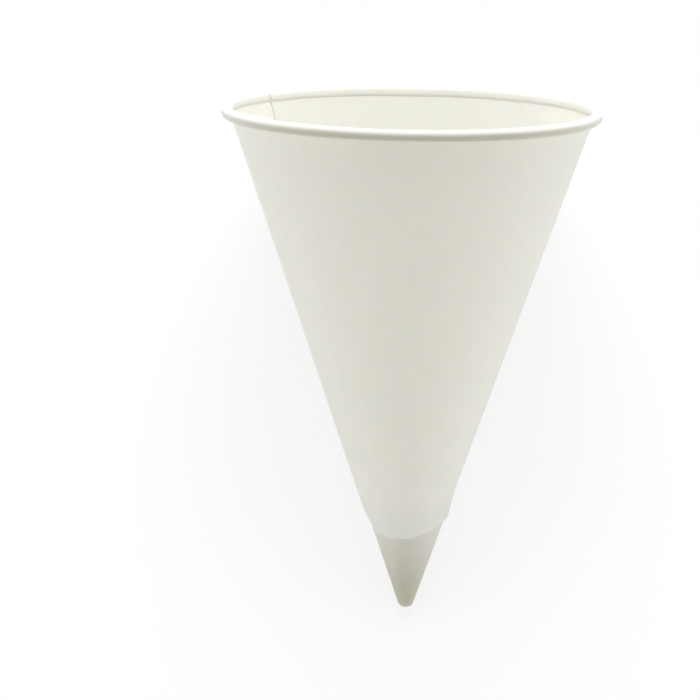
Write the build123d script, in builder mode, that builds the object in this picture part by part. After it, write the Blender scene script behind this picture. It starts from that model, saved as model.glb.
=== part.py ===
from build123d import *
from math import asin, atan2, cos, degrees, hypot, radians, sin, tan
import os

# Cone paper cup, rolled from one blank of paper. It lies on its side, as it comes to rest:
# the rolled rim and the outer turn's lower edge touch the floor, and the mouth points to +X.
# The side with the glued lap is the heavy one, so it is underneath, pressed a little flat.
# Lengths in millimetres, angles in degrees.
#
# Heights are measured along the cup's axis from the end of its tip. An azimuth is the angle
# about that axis from the cup's upper side, and it grows towards -Y.

# Overall form
rim_diameter = 73.0
cup_height = 97.0
tip_radius = 1.35
paper = 0.25

# Rolled rim: the paper curls outwards by this much of a turn, drawn in short flats
bead = 2.0
curl_turn = 280.0
curl_flats = 13

# Glued lap of the wall: the inner end of the paper, and how far the outer end lies over it
seam_azimuth = 229.5
lap = 99.0

# Lower edge of the outer turn: a slanting cut that is lowest at one azimuth
edge_azimuth = -8.0
edge_height = 14.4
edge_slant = 26.7

# Flat on the side that the cup lies on, as half the angle that it spans
rest_flat = 11.0

# The inner turn closes the tip, reaches up inside the outer one, and ends in a flap outside
tuck = 4.0
flap_azimuth = 65.0
flap_gap = 0.3

# Half angle of the cone, from a line that touches the tip's ball and the rim's bead
bead_radius = bead / 2
bead_centre = rim_diameter / 2 - bead_radius
bead_height = cup_height - bead_radius
ball_to_bead = hypot(bead_centre, bead_height - tip_radius)
wall_angle = degrees(
    atan2(bead_centre, bead_height - tip_radius) - asin((tip_radius + bead_radius) / ball_to_bead)
)
wall_sin = sin(radians(wall_angle))
wall_cos = cos(radians(wall_angle))
wall_tan = tan(radians(wall_angle))

# One turn of the spiral steps out by the paper, measured level across the sloping wall
step = paper / wall_cos
half_step = step / 2
half_turn = 180.0


def wall_radius(height):
    """The inner face of the wall, at a height."""
    touch_radius = bead_centre - bead_radius * wall_cos
    touch_height = bead_height + bead_radius * wall_sin
    return touch_radius - (touch_height - height) * wall_tan


def curl(middle, radius):
    """The corners of a curl that starts where the wall touches it and turns outwards."""
    turns = [curl_turn * flat / curl_flats for flat in range(curl_flats + 1)]
    return [middle + Vector(-wall_cos, wall_sin).rotate(Axis.Z, -turn) * radius for turn in turns]


# The slanting cut meets the axis at cut_height, and the flat underneath at back_height
flat_share = cos(radians(rest_flat))
edge_rise = tan(radians(edge_slant))
cut_height = edge_height + edge_rise * (wall_radius(edge_height) + step)
back_rise = edge_rise * cos(radians(edge_azimuth)) * flat_share
back_height = (cut_height + back_rise * (wall_radius(0) + 2 * step)) / (1 - back_rise * wall_tan)
back_radius = (wall_radius(back_height) + 2 * step) * flat_share

# The floor touches that edge and one corner of the curl, which gives the tilt of the axis
corners = curl(Vector(bead_centre, bead_height), bead_radius)
under_corners = [(corner.X * flat_share, corner.Y) for corner in corners]
tilt = max(
    degrees(atan2(radius - back_radius, height - back_height)) for radius, height in under_corners
)
tilt_sin = sin(radians(tilt))
tilt_cos = cos(radians(tilt))

# The tip's end, set so that the cup lies on z = 0 with its middle over the origin. The outer
# half of the spiral makes the +Y side wider by side_swell.
mouth_end = max(tilt_cos * height + tilt_sin * radius for radius, height in under_corners)
tip_end = (tilt_cos - 1) * tip_radius
side_swell = half_step * (1 - sin(radians(seam_azimuth)))
cup = Plane(
    origin=(
        -(mouth_end + tip_end) / 2,
        -side_swell / 2,
        tilt_cos * back_radius - tilt_sin * back_height,
    ),
    x_dir=(-tilt_sin, 0, tilt_cos),
    z_dir=(tilt_cos, 0, tilt_sin),
)


def stepped(centre, azimuth):
    """A winding's centre, moved half a step towards an azimuth."""
    across = half_step * cos(radians(azimuth))
    aside = half_step * sin(radians(azimuth))
    return Plane(centre.location * Pos(across, aside, 0))


def section(centre, azimuth):
    """The plane through a winding's axis at an azimuth: x is radius and y is height."""
    return Plane(centre.location * Rotation(0, 0, azimuth) * Plane.XZ.location)


def axle(centre):
    """The axis that a winding is revolved about."""
    return Axis(centre.origin, centre.z_dir)


def wall_section(centre, azimuth, layers, spread, share=1):
    """One or two layers of paper, from under the slanting cut up to the end of the curl."""
    foot = edge_height / 2
    inside = wall_radius(foot) + spread
    middle = Vector(bead_centre + spread, bead_height)
    rim_face = [Vector(inside, foot)] + curl(middle, bead_radius)
    under_face = [Vector(inside + layers * step, foot)] + curl(middle, bead_radius - layers * paper)
    outline = rim_face + under_face[::-1]
    with BuildSketch(section(centre, azimuth)) as drawn:
        with BuildLine():
            Polyline(*[(corner.X * share, corner.Y) for corner in outline], close=True)
        make_face()
    return drawn.sketch


def tip_section(centre, azimuth, inset, spread, top):
    """Half the section of a solid tip with a rounded end, drawn from its axis outwards."""
    ball = tip_radius - inset
    middle = Vector(spread, tip_radius)
    touch = middle + Vector(wall_cos, -wall_sin) * ball
    end = middle - Vector(0, ball)
    with BuildSketch(section(centre, azimuth)) as drawn:
        with BuildLine():
            RadiusArc(end, touch, -ball)
            Line(touch, touch + Vector(wall_tan, 1) * (top - touch.Y))
            Polyline(touch + Vector(wall_tan, 1) * (top - touch.Y), (0, top), (0, end.Y))
            if spread:
                Line((0, end.Y), end)
        make_face()
    return drawn.sketch


# The paper winds outwards about two centres: half a turn about the cup's axis, then half a
# turn about an axis half a step aside, which ends one thickness of paper outside the start.
outer_centre = stepped(cup, seam_azimuth)
turn_over = seam_azimuth - half_turn
edge_cut = Plane(
    cup.offset(cut_height).location * Rotation(0, 0, edge_azimuth) * Rotation(0, edge_slant, 0)
)

# The flat underneath: two papers run straight across, between the planes at its two sides
flat_start = half_turn - rest_flat
flat_end = half_turn + rest_flat
with BuildPart() as flat_panel:
    straight = wall_section(cup, half_turn, 2, 0, flat_share)
    extrude(straight, amount=rim_diameter / 2, both=True)
    split(bisect_by=section(cup, flat_start), keep=Keep.BOTTOM)
    split(bisect_by=section(cup, flat_end), keep=Keep.TOP)

# Outer turn: the wall with its rolled rim, two papers thick where the lap is glued
lap_end = seam_azimuth - lap
with BuildPart() as outer_turn:
    single = wall_section(cup, turn_over, 1, 0)
    revolve(single, axis=axle(cup), revolution_arc=lap_end - turn_over)
    double = wall_section(cup, lap_end, 2, 0)
    revolve(double, axis=axle(cup), revolution_arc=flat_start - lap_end)
    add(flat_panel.part)
    beyond_flat = wall_section(cup, flat_end, 2, 0)
    revolve(beyond_flat, axis=axle(cup), revolution_arc=seam_azimuth - flat_end)
    widening = wall_section(outer_centre, seam_azimuth, 1, half_step)
    revolve(widening, axis=axle(outer_centre), revolution_arc=half_turn)
    split(bisect_by=edge_cut, keep=Keep.TOP)

# Inner turn: it closes the tip, and is hollowed to the thickness of the paper
flap_centre = stepped(outer_centre, flap_azimuth)
inner_top = back_height + tuck
with BuildPart() as inner_turn:
    # The flap widens over half a turn about a third centre, clear of the slanting cut
    flap = tip_section(flap_centre, flap_azimuth - half_turn, 0, 2 * half_step, inner_top)
    revolve(flap, axis=axle(flap_centre), revolution_arc=half_turn)
    split(bisect_by=edge_cut.offset(-flap_gap), keep=Keep.BOTTOM)

    # The tip fills both halves of the wall
    narrow_half = tip_section(cup, turn_over, 0, 0, inner_top)
    revolve(narrow_half, axis=axle(cup), revolution_arc=half_turn)
    wide_half = tip_section(outer_centre, seam_azimuth, 0, half_step, inner_top)
    revolve(wide_half, axis=axle(outer_centre), revolution_arc=half_turn)
    hollow = tip_section(cup, turn_over, paper, 0, inner_top + tuck)
    revolve(hollow, axis=axle(cup), mode=Mode.SUBTRACT)

# Both turns are one piece of paper
with BuildPart() as cone_cup:
    add(outer_turn.part)
    add(inner_turn.part)

cone_cup.part.label = "cone_cup"
os.makedirs("parts", exist_ok=True)
export_step(cone_cup.part, "parts/cone_cup.step")
print(f"wall angle {wall_angle:.2f}, tilt {tilt:.2f}, back edge at {back_height:.2f}")
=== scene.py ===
from math import atan2, cos, degrees, pi, radians, sin, tan

import bmesh
import bpy
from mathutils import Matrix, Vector


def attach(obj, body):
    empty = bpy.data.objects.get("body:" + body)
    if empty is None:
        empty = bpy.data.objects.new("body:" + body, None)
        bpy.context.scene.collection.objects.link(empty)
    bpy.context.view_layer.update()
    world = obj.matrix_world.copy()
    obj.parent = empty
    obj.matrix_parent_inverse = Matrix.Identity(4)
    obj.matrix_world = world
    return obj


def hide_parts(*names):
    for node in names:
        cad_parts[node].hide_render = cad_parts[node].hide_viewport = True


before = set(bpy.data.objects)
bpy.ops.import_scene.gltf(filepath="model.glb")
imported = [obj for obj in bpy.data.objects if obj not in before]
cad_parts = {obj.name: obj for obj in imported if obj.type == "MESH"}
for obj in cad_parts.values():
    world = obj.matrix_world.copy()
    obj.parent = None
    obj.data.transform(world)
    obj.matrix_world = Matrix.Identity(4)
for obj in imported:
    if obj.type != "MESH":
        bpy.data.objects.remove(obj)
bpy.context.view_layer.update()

# A cone paper cup, lying on its side. It is rolled upright round the Z axis, with the end of
# its tip at the origin, then laid down at the end. Azimuths are counter-clockwise from +X,
# which is the side that ends up on top. Metres, and degrees for the angles.

# the cone, and how it lies
cone = {
    "wallAngle": 19.2273,
    "wallRadius": 0.034556,     # inner face of the wall at wallHeight
    "wallHeight": 0.096329,
    "tipRadius": 0.00135,
    "paper": 0.00025,
    "step": 0.000265,           # how far the spiral steps out in a turn
    "seamAzimuth": 232.5,       # inner end of the paper
    "flapAzimuth": 80.0,        # outer end of the paper, on the tip
    "flatHalf": 11.0,           # half the flat that it lies on
    "tilt": 19.9698,
    "tipEnd": (-0.051522, -0.000117, 0.000938),
    "precision": 0.000001,      # for cuts, and for finding points by their place
}

slope = radians(cone["wallAngle"])
step = cone["step"]
seam = cone["seamAzimuth"]


def clearSelection():
    for item in bpy.context.selected_objects:
        item.select_set(False)


def innerFace(height):
    return cone["wallRadius"] - (cone["wallHeight"] - height) * tan(slope)


def onCircle(radius, azimuth, height=0.0):
    return (radius * cos(radians(azimuth)), radius * sin(radians(azimuth)), height)


def azimuthOf(co):
    return degrees(atan2(co.y, co.x)) % 360


def smooth(share):
    share = min(1, max(0, share))
    return share * share * (3 - 2 * share)


def pickPoints(piece, isWanted):
    shape = bmesh.from_edit_mesh(piece.data)
    bpy.ops.mesh.select_mode(type="VERT")
    bpy.ops.mesh.select_all(action="DESELECT")
    for point in shape.verts:
        if isWanted(point.co):
            point.select_set(True)
    shape.select_flush(True)
    bmesh.update_edit_mesh(piece.data)


def startProfile(name, place):
    # a single point to draw from: a plane merged at its middle
    clearSelection()
    bpy.ops.mesh.primitive_plane_add(size=0.001)
    piece = bpy.context.object
    piece.name = name
    bpy.ops.object.mode_set(mode="EDIT")
    bpy.ops.mesh.select_all(action="SELECT")
    bpy.ops.mesh.merge(type="CENTER")
    bpy.ops.transform.translate(value=place)
    return piece


def extendProfile(start, end):
    move = [far - near for near, far in zip(start, end)]
    bpy.ops.mesh.extrude_region_move(TRANSFORM_OT_translate={"value": move})


def turnProfile(piece, azimuth):
    bpy.ops.object.mode_set(mode="OBJECT")
    piece.rotation_euler.z = radians(azimuth)
    bpy.ops.object.transform_apply(location=False, rotation=True, scale=False)
    bpy.ops.object.mode_set(mode="EDIT")
    bpy.ops.mesh.select_all(action="SELECT")


def roll(arc, stepAngle, centre=(0, 0, 0), axis=(0, 0, 1)):
    # spin turns the other way round from its axis, so the angle is negated
    bpy.ops.mesh.spin(steps=max(1, round(abs(arc) / stepAngle)), angle=radians(-arc),
                      center=centre, axis=axis)


def cutAcross(cut, **side):
    # a cut is a plane: where it meets the axis, and how it rises towards +X and +Y
    height, riseX, riseY = cut
    bpy.ops.mesh.select_all(action="SELECT")
    bpy.ops.mesh.bisect(plane_co=(0, 0, height),
                        plane_no=Vector((-riseX, -riseY, 1)).normalized(),
                        threshold=cone["precision"], **side)


def thicken(piece):
    # the drawn face is kept, and the paper grows behind it
    bpy.ops.object.mode_set(mode="OBJECT")
    thickness = piece.modifiers.new("thickness", "SOLIDIFY")
    thickness.thickness = cone["paper"]
    thickness.offset = -1
    bpy.context.view_layer.objects.active = piece
    bpy.ops.object.modifier_apply(modifier=thickness.name)


# outer turn of the paper: the wall and its rolled rim
wall = {
    "foot": 0.0072,             # height where the profile starts, under the slanting cut
    "rows": 60,
    "rollStep": 1.5,
    "lap": 102.0,
    "curlRing": 0.03541,        # middle of the curl
    "curlHeight": 0.09592,
    "curlRadius": 0.00104,
    "curlSquare": 3.0,          # 2 is round, more is flatter at the sides
    "curlLean": 15.0,           # the curl's flat sides lean outwards like the wall
    "curlStart": 212.0,
    "curlTurn": 322.0,
    "curlStep": 14.0,
    "lapMargin": 0.1,           # degrees, for finding the lap's own edges too
}

lapEnd = seam - wall["lap"]
foot = (innerFace(wall["foot"]) + step, 0, wall["foot"])


def curlShape(out, along):
    # distance from the curl's middle, measured so that it stays the same all round the curl
    lean = radians(wall["curlLean"])
    power = wall["curlSquare"]
    across = abs(out * cos(lean) - along * sin(lean))
    up = abs(out * sin(lean) + along * cos(lean))
    return (across ** power + up ** power) ** (1 / power)


def curlPoint(turn):
    out = cos(radians(wall["curlStart"] - turn))
    along = sin(radians(wall["curlStart"] - turn))
    size = wall["curlRadius"] / curlShape(out, along)
    return (wall["curlRing"] + step + out * size, 0, wall["curlHeight"] + along * size)


crease = curlPoint(0)
paperCup = startProfile("paperCup", foot)
extendProfile(foot, crease)
bpy.ops.mesh.select_all(action="SELECT")
bpy.ops.mesh.subdivide(number_cuts=wall["rows"])
pickPoints(paperCup, lambda co: co.z > crease[2] - cone["precision"])
curlSteps = int(wall["curlTurn"] / wall["curlStep"])
for turn in range(curlSteps):
    extendProfile(curlPoint(turn * wall["curlStep"]), curlPoint((turn + 1) * wall["curlStep"]))
turnProfile(paperCup, lapEnd)

# outer layer of the lap, then half a turn that steps inwards, then the inner layer; the flat
# that the cup lies on is one straight step
flatStart = 180 - cone["flatHalf"]
flatEnd = 180 + cone["flatHalf"]
flatArc = flatEnd - flatStart
roll(flatStart - lapEnd, wall["rollStep"])
roll(flatArc, flatArc)
roll(seam - flatEnd, wall["rollStep"])
roll(180, wall["rollStep"], onCircle(step / 2, seam))
roll(flatStart - (seam - 180), wall["rollStep"])
roll(flatArc, flatArc)
roll(seam - flatEnd, wall["rollStep"])
print("paper rolled")

# the slanting lower edge, steeper on the -Y side and with a kink on the +Y side
lowerEdge = {
    "longCut": (0.017541, -0.4980, 0.0700),
    "farCut": (0.01555, -0.2252, 0.3734),
    "nearCut": (0.0123, -0.66, -1.025),
    "lift": 0.00068,            # the flap of the inner turn pushes the edge out this far
    "liftEnd": 80.0,            # how far past the flap's end the wall stands off
    "liftHeight": 0.01,
}

for cutName in ("longCut", "farCut", "nearCut"):
    cutAcross(lowerEdge[cutName], clear_inner=True)


# the outer layer of the lap ends inside the curl of the inner one, so its own curl goes
def isHiddenCurl(co):
    out = co.to_2d().length - wall["curlRing"] - step
    offCurl = curlShape(out, co.z - wall["curlHeight"]) - wall["curlRadius"]
    onLap = lapEnd - wall["lapMargin"] < azimuthOf(co) < seam + wall["lapMargin"]
    return abs(offCurl) < 2 * cone["precision"] and onLap


pickPoints(paperCup, isHiddenCurl)
bpy.ops.mesh.delete(type="FACE")

# towards the rim the wall is a little out of round, but not on the side that it lies on
outOfRound = {
    "depth": 0.00007,
    "waves": ((3, 1.0, 0.6), (7, 0.6, 2.0), (13, 0.3, 0.0)),    # count, size, start
    "freeSide": 1.2,            # how fast the waves grow round from the lower side
    "heldSide": 0.1,
}

edgeHeight, edgeRise = lowerEdge["longCut"][:2]
wallShape = bmesh.from_edit_mesh(paperCup.data)
for point in wallShape.verts:
    turn = radians(azimuthOf(point.co))
    outwards = Vector((cos(turn), sin(turn), 0))
    wave = sum(size * sin(count * turn + start) for count, size, start in outOfRound["waves"])
    free = smooth((1 + cos(turn)) * outOfRound["freeSide"] - outOfRound["heldSide"])
    free *= point.co.z / cone["wallHeight"]
    point.co += outwards * outOfRound["depth"] * wave * free
    above = max((point.co.z - edgeHeight - edgeRise * point.co.x) / lowerEdge["liftHeight"], 0)
    if above < 1:
        aside = (degrees(turn) - cone["flapAzimuth"] + 180) % 360 - 180
        share = (1 + cos(radians(aside))) / 2
        if aside > 0:
            share = smooth(1 - aside / lowerEdge["liftEnd"])
        point.co += outwards * lowerEdge["lift"] * (1 - above) ** 2 * share
bmesh.update_edit_mesh(paperCup.data)
thicken(paperCup)
print("wall ready,", len(paperCup.data.polygons), "faces")

# inner turn of the paper: it closes the tip, reaches up inside the wall, and ends in a flap
# that laps round the outside of the tip
tip = {
    "top": 0.0275,
    "rows": 14,
    "turnStep": 3.0,
    "ballStep": 8.0,
    "inset": 0.0003,            # the first half turn lies this deep inside
    "turnRise": 0.00027,        # and the second half turn comes out from under it
    "flapRise": 0.00045,        # how far the flap then comes out at its end
    "topCut": (0.02304, -0.4980, 0.0700),
    "flapCut": (0.0224, -0.9725, -0.0957),
}

flapStart = cone["flapAzimuth"] - 180


def tipProfile(name, inset):
    piece = startProfile(name, (0, 0, inset))
    roll(cone["wallAngle"] - 90, tip["ballStep"], (0, 0, cone["tipRadius"]), (0, 1, 0))
    shape = bmesh.from_edit_mesh(piece.data)
    ballEnd = [point.co.z for point in shape.verts if point.select][0]
    rise = (tip["top"] - ballEnd) / tip["rows"]
    for row in range(tip["rows"]):
        extendProfile((0, 0, 0), (tan(slope) * rise, 0, rise))
    turnProfile(piece, flapStart)
    return piece


def trimTip(piece, cut):
    cutAcross(cut, clear_outer=True)
    bpy.ops.mesh.select_all(action="SELECT")
    bpy.ops.mesh.flip_normals()
    thicken(piece)


innerTip = tipProfile("innerTip", tip["inset"])
roll(180, tip["turnStep"])
roll(180, tip["turnStep"], onCircle(tip["turnRise"] / 2, flapStart))
trimTip(innerTip, tip["topCut"])

tipFlap = tipProfile("tipFlap", tip["inset"] - tip["turnRise"])
roll(180, tip["turnStep"], onCircle(tip["flapRise"] / 2, cone["flapAzimuth"]))
trimTip(tipFlap, tip["flapCut"])
print("tip ready,", len(innerTip.data.polygons) + len(tipFlap.data.polygons), "faces")

# painted shade: the paper's colour is darkened towards the end of the tip and on the front
# underside of the rim's curl, where they lie in shade, and partly for the extra layers of
# paper there that let less light through; 1 is dark, 0 is the plain wall
paintedShade = {
    "tipEnd": 1.1,
    "tipTop": 0.3,
    "curl": 0.9,
    "curlReach": 1.5,           # how far below the curl's middle it starts, in radii
    "curlOut": 0.5,             # more spreads it inwards
    "curlUnder": 0.7,           # more spreads it upwards
    "curlFront": 0.1,           # more spreads it towards the rim's two sides
}

# painted shade: the tip gets darker towards its end, and the curl's underside darker at the
# front of the rim
for piece in (innerTip, tipFlap, paperCup):
    tint = piece.data.attributes.new("paintedShade", "FLOAT", "POINT")
    for point in piece.data.vertices:
        out = (point.co.to_2d().length - wall["curlRing"]) / wall["curlRadius"]
        up = (point.co.z - wall["curlHeight"]) / wall["curlRadius"]
        if piece != paperCup:
            rise = smooth(point.co.z / edgeHeight)
            tint.data[point.index].value = paintedShade["tipEnd"] + rise * (
                paintedShade["tipTop"] - paintedShade["tipEnd"])
        elif up > -paintedShade["curlReach"]:
            front = smooth(paintedShade["curlFront"] + cos(radians(azimuthOf(point.co))))
            tint.data[point.index].value = paintedShade["curl"] * front * (
                smooth(paintedShade["curlOut"] + out) * smooth(paintedShade["curlUnder"] - up))

# all one piece of paper, laid on its side
clearSelection()
for piece in (innerTip, tipFlap, paperCup):
    piece.select_set(True)
bpy.context.view_layer.objects.active = paperCup
bpy.ops.object.join()
bpy.ops.object.shade_smooth_by_angle(angle=radians(35))
paperCup.rotation_euler = (0, radians(cone["tilt"] - 90), pi)
paperCup.location = cone["tipEnd"]
bpy.ops.object.transform_apply(location=True, rotation=True, scale=False)
print("cup laid down")

# uncoated paper, off-white, with a soft mottle and fine fibres, and painted shade on the tip
# and under the rim's curl
paperLook = {
    "light": (0.890, 0.884, 0.825, 1),
    "dark": (0.872, 0.864, 0.802, 1),
    # painted shade colour, multiplied over the paper at the tip and under the rim's curl
    "paintedDarkening": (0.70, 0.685, 0.60, 1),
    "roughness": 0.8,
    "gloss": 0.35,
    "throughLight": 1.0,        # thin paper glows with the light from behind it
    "throughTint": (1.0, 0.97, 0.88),
    "throughDepth": 0.0002,
    "mottle": {"Scale": 420, "Detail": 5, "Roughness": 0.6},
    "mottleSpread": (0.3, 0.7),
    "fibres": {"Scale": 2600, "Detail": 4, "Distortion": 1.5},
    "fibreDepth": 0.00002,
    "fibreStrength": 0.4,
}


def addNoise(nodes, links, place, settings):
    noise = nodes.new("ShaderNodeTexNoise")
    for socket, value in settings.items():
        noise.inputs[socket].default_value = value
    links.new(place.outputs["Object"], noise.inputs["Vector"])
    return noise


whitePaper = bpy.data.materials.new("whitePaper")
whitePaper.use_nodes = True
nodes = whitePaper.node_tree.nodes
links = whitePaper.node_tree.links
shader = nodes["Principled BSDF"]
shader.inputs["Roughness"].default_value = paperLook["roughness"]
shader.inputs["Specular IOR Level"].default_value = paperLook["gloss"]
shader.inputs["Subsurface Weight"].default_value = paperLook["throughLight"]
shader.inputs["Subsurface Radius"].default_value = paperLook["throughTint"]
shader.inputs["Subsurface Scale"].default_value = paperLook["throughDepth"]
place = nodes.new("ShaderNodeTexCoord")
mottle = addNoise(nodes, links, place, paperLook["mottle"])
tone = nodes.new("ShaderNodeValToRGB")
for stop, spread, shade in zip(tone.color_ramp.elements, paperLook["mottleSpread"],
                               ("dark", "light")):
    stop.position = spread
    stop.color = paperLook[shade]
links.new(mottle.outputs["Fac"], tone.inputs["Fac"])

# the painted shade is multiplied over the paper; a mix node's colour sockets share their
# names with others, so they are found by number
mixFactor, mixFirst, mixSecond, mixResult = 0, 6, 7, 2
paintedShadeAmount = nodes.new("ShaderNodeAttribute")
paintedShadeAmount.attribute_name = "paintedShade"
paintedDarkening = nodes.new("ShaderNodeMix")
paintedDarkening.data_type = "RGBA"
paintedDarkening.blend_type = "MULTIPLY"
paintedDarkening.inputs[mixSecond].default_value = paperLook["paintedDarkening"]
links.new(paintedShadeAmount.outputs["Fac"], paintedDarkening.inputs[mixFactor])
links.new(tone.outputs["Color"], paintedDarkening.inputs[mixFirst])
links.new(paintedDarkening.outputs[mixResult], shader.inputs["Base Color"])

fibres = addNoise(nodes, links, place, paperLook["fibres"])
grain = nodes.new("ShaderNodeBump")
grain.inputs["Strength"].default_value = paperLook["fibreStrength"]
grain.inputs["Distance"].default_value = paperLook["fibreDepth"]
links.new(fibres.outputs["Fac"], grain.inputs["Height"])
links.new(grain.outputs["Normal"], shader.inputs["Normal"])
paperCup.data.materials.clear()
paperCup.data.materials.append(whitePaper)
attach(paperCup, "root")
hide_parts("cone_cup")
print("paper finish ready")

# pale floor: white to the camera, but it keeps the cup's shadow
studio = {
    "floorSize": 4.0,
    "floorColour": (0.93, 0.93, 0.93, 1),
    "floorRoughness": 0.9,
    "cameraWhite": 0.75,
    "whiteGlow": 1.04,
    "worldColour": (1, 1, 1, 1),
    "worldStrength": 0.24,
    "aim": (0.0, 0.0, 0.03),
    "lamps": {
        "mouthLamp": {"place": (1.44, 0.0, 1.08), "size": 1.0, "power": 27.5},
        "tipLamp": {"place": (-0.9, 0.0, 0.5), "size": 0.7, "power": 3.8},
        "leftLamp": {"place": (0.1, 1.3, 0.35), "size": 0.8, "power": 4.0},
        "rightLamp": {"place": (0.1, -1.3, 0.35), "size": 0.8, "power": 4.4},
    },
}

clearSelection()
bpy.ops.mesh.primitive_plane_add(size=studio["floorSize"])
studioFloor = bpy.context.object
studioFloor.name = "studioFloor"
floorWhite = bpy.data.materials.new("floorWhite")
floorWhite.use_nodes = True
nodes = floorWhite.node_tree.nodes
links = floorWhite.node_tree.links
matt = nodes["Principled BSDF"]
matt.inputs["Base Color"].default_value = studio["floorColour"]
matt.inputs["Roughness"].default_value = studio["floorRoughness"]
matt.inputs["Specular IOR Level"].default_value = 0.0
glow = nodes.new("ShaderNodeEmission")
glow.inputs["Strength"].default_value = studio["whiteGlow"]
rays = nodes.new("ShaderNodeLightPath")
cameraShare = nodes.new("ShaderNodeMath")
cameraShare.operation = "MULTIPLY"
cameraShare.inputs[1].default_value = studio["cameraWhite"]
blend = nodes.new("ShaderNodeMixShader")
links.new(rays.outputs["Is Camera Ray"], cameraShare.inputs[0])
links.new(cameraShare.outputs["Value"], blend.inputs["Fac"])
links.new(matt.outputs["BSDF"], blend.inputs[1])
links.new(glow.outputs["Emission"], blend.inputs[2])
links.new(blend.outputs["Shader"], nodes["Material Output"].inputs["Surface"])
studioFloor.data.materials.append(floorWhite)

for name, lampSetting in studio["lamps"].items():
    bpy.ops.object.light_add(type="AREA", location=lampSetting["place"])
    lamp = bpy.context.object
    lamp.name = name
    lamp.data.size = lampSetting["size"]
    lamp.data.energy = lampSetting["power"]
    towards = Vector(studio["aim"]) - Vector(lampSetting["place"])
    lamp.rotation_euler = towards.to_track_quat("-Z", "Y").to_euler()

world = bpy.context.scene.world or bpy.data.worlds.new("world")
bpy.context.scene.world = world
world.use_nodes = True
background = world.node_tree.nodes["Background"]
background.inputs["Color"].default_value = studio["worldColour"]
background.inputs["Strength"].default_value = studio["worldStrength"]
print("floor and lamps ready")

# long lens, nearly overhead, a little from the tip's side
view = {
    "place": (-0.326170, 0.011167, 1.585352),
    "turn": (11.594, -0.185, -89.098),
    "lens": 427.79,
    "sensor": 36,
    "farEnd": 10,
}

bpy.ops.object.camera_add(location=view["place"],
                          rotation=[radians(angle) for angle in view["turn"]])
camera = bpy.context.object
camera.name = "camera"
camera.data.lens = view["lens"]
camera.data.sensor_width = view["sensor"]
camera.data.clip_end = view["farEnd"]
bpy.context.scene.camera = camera
bpy.context.scene.view_settings.view_transform = "Standard"
print("camera ready")
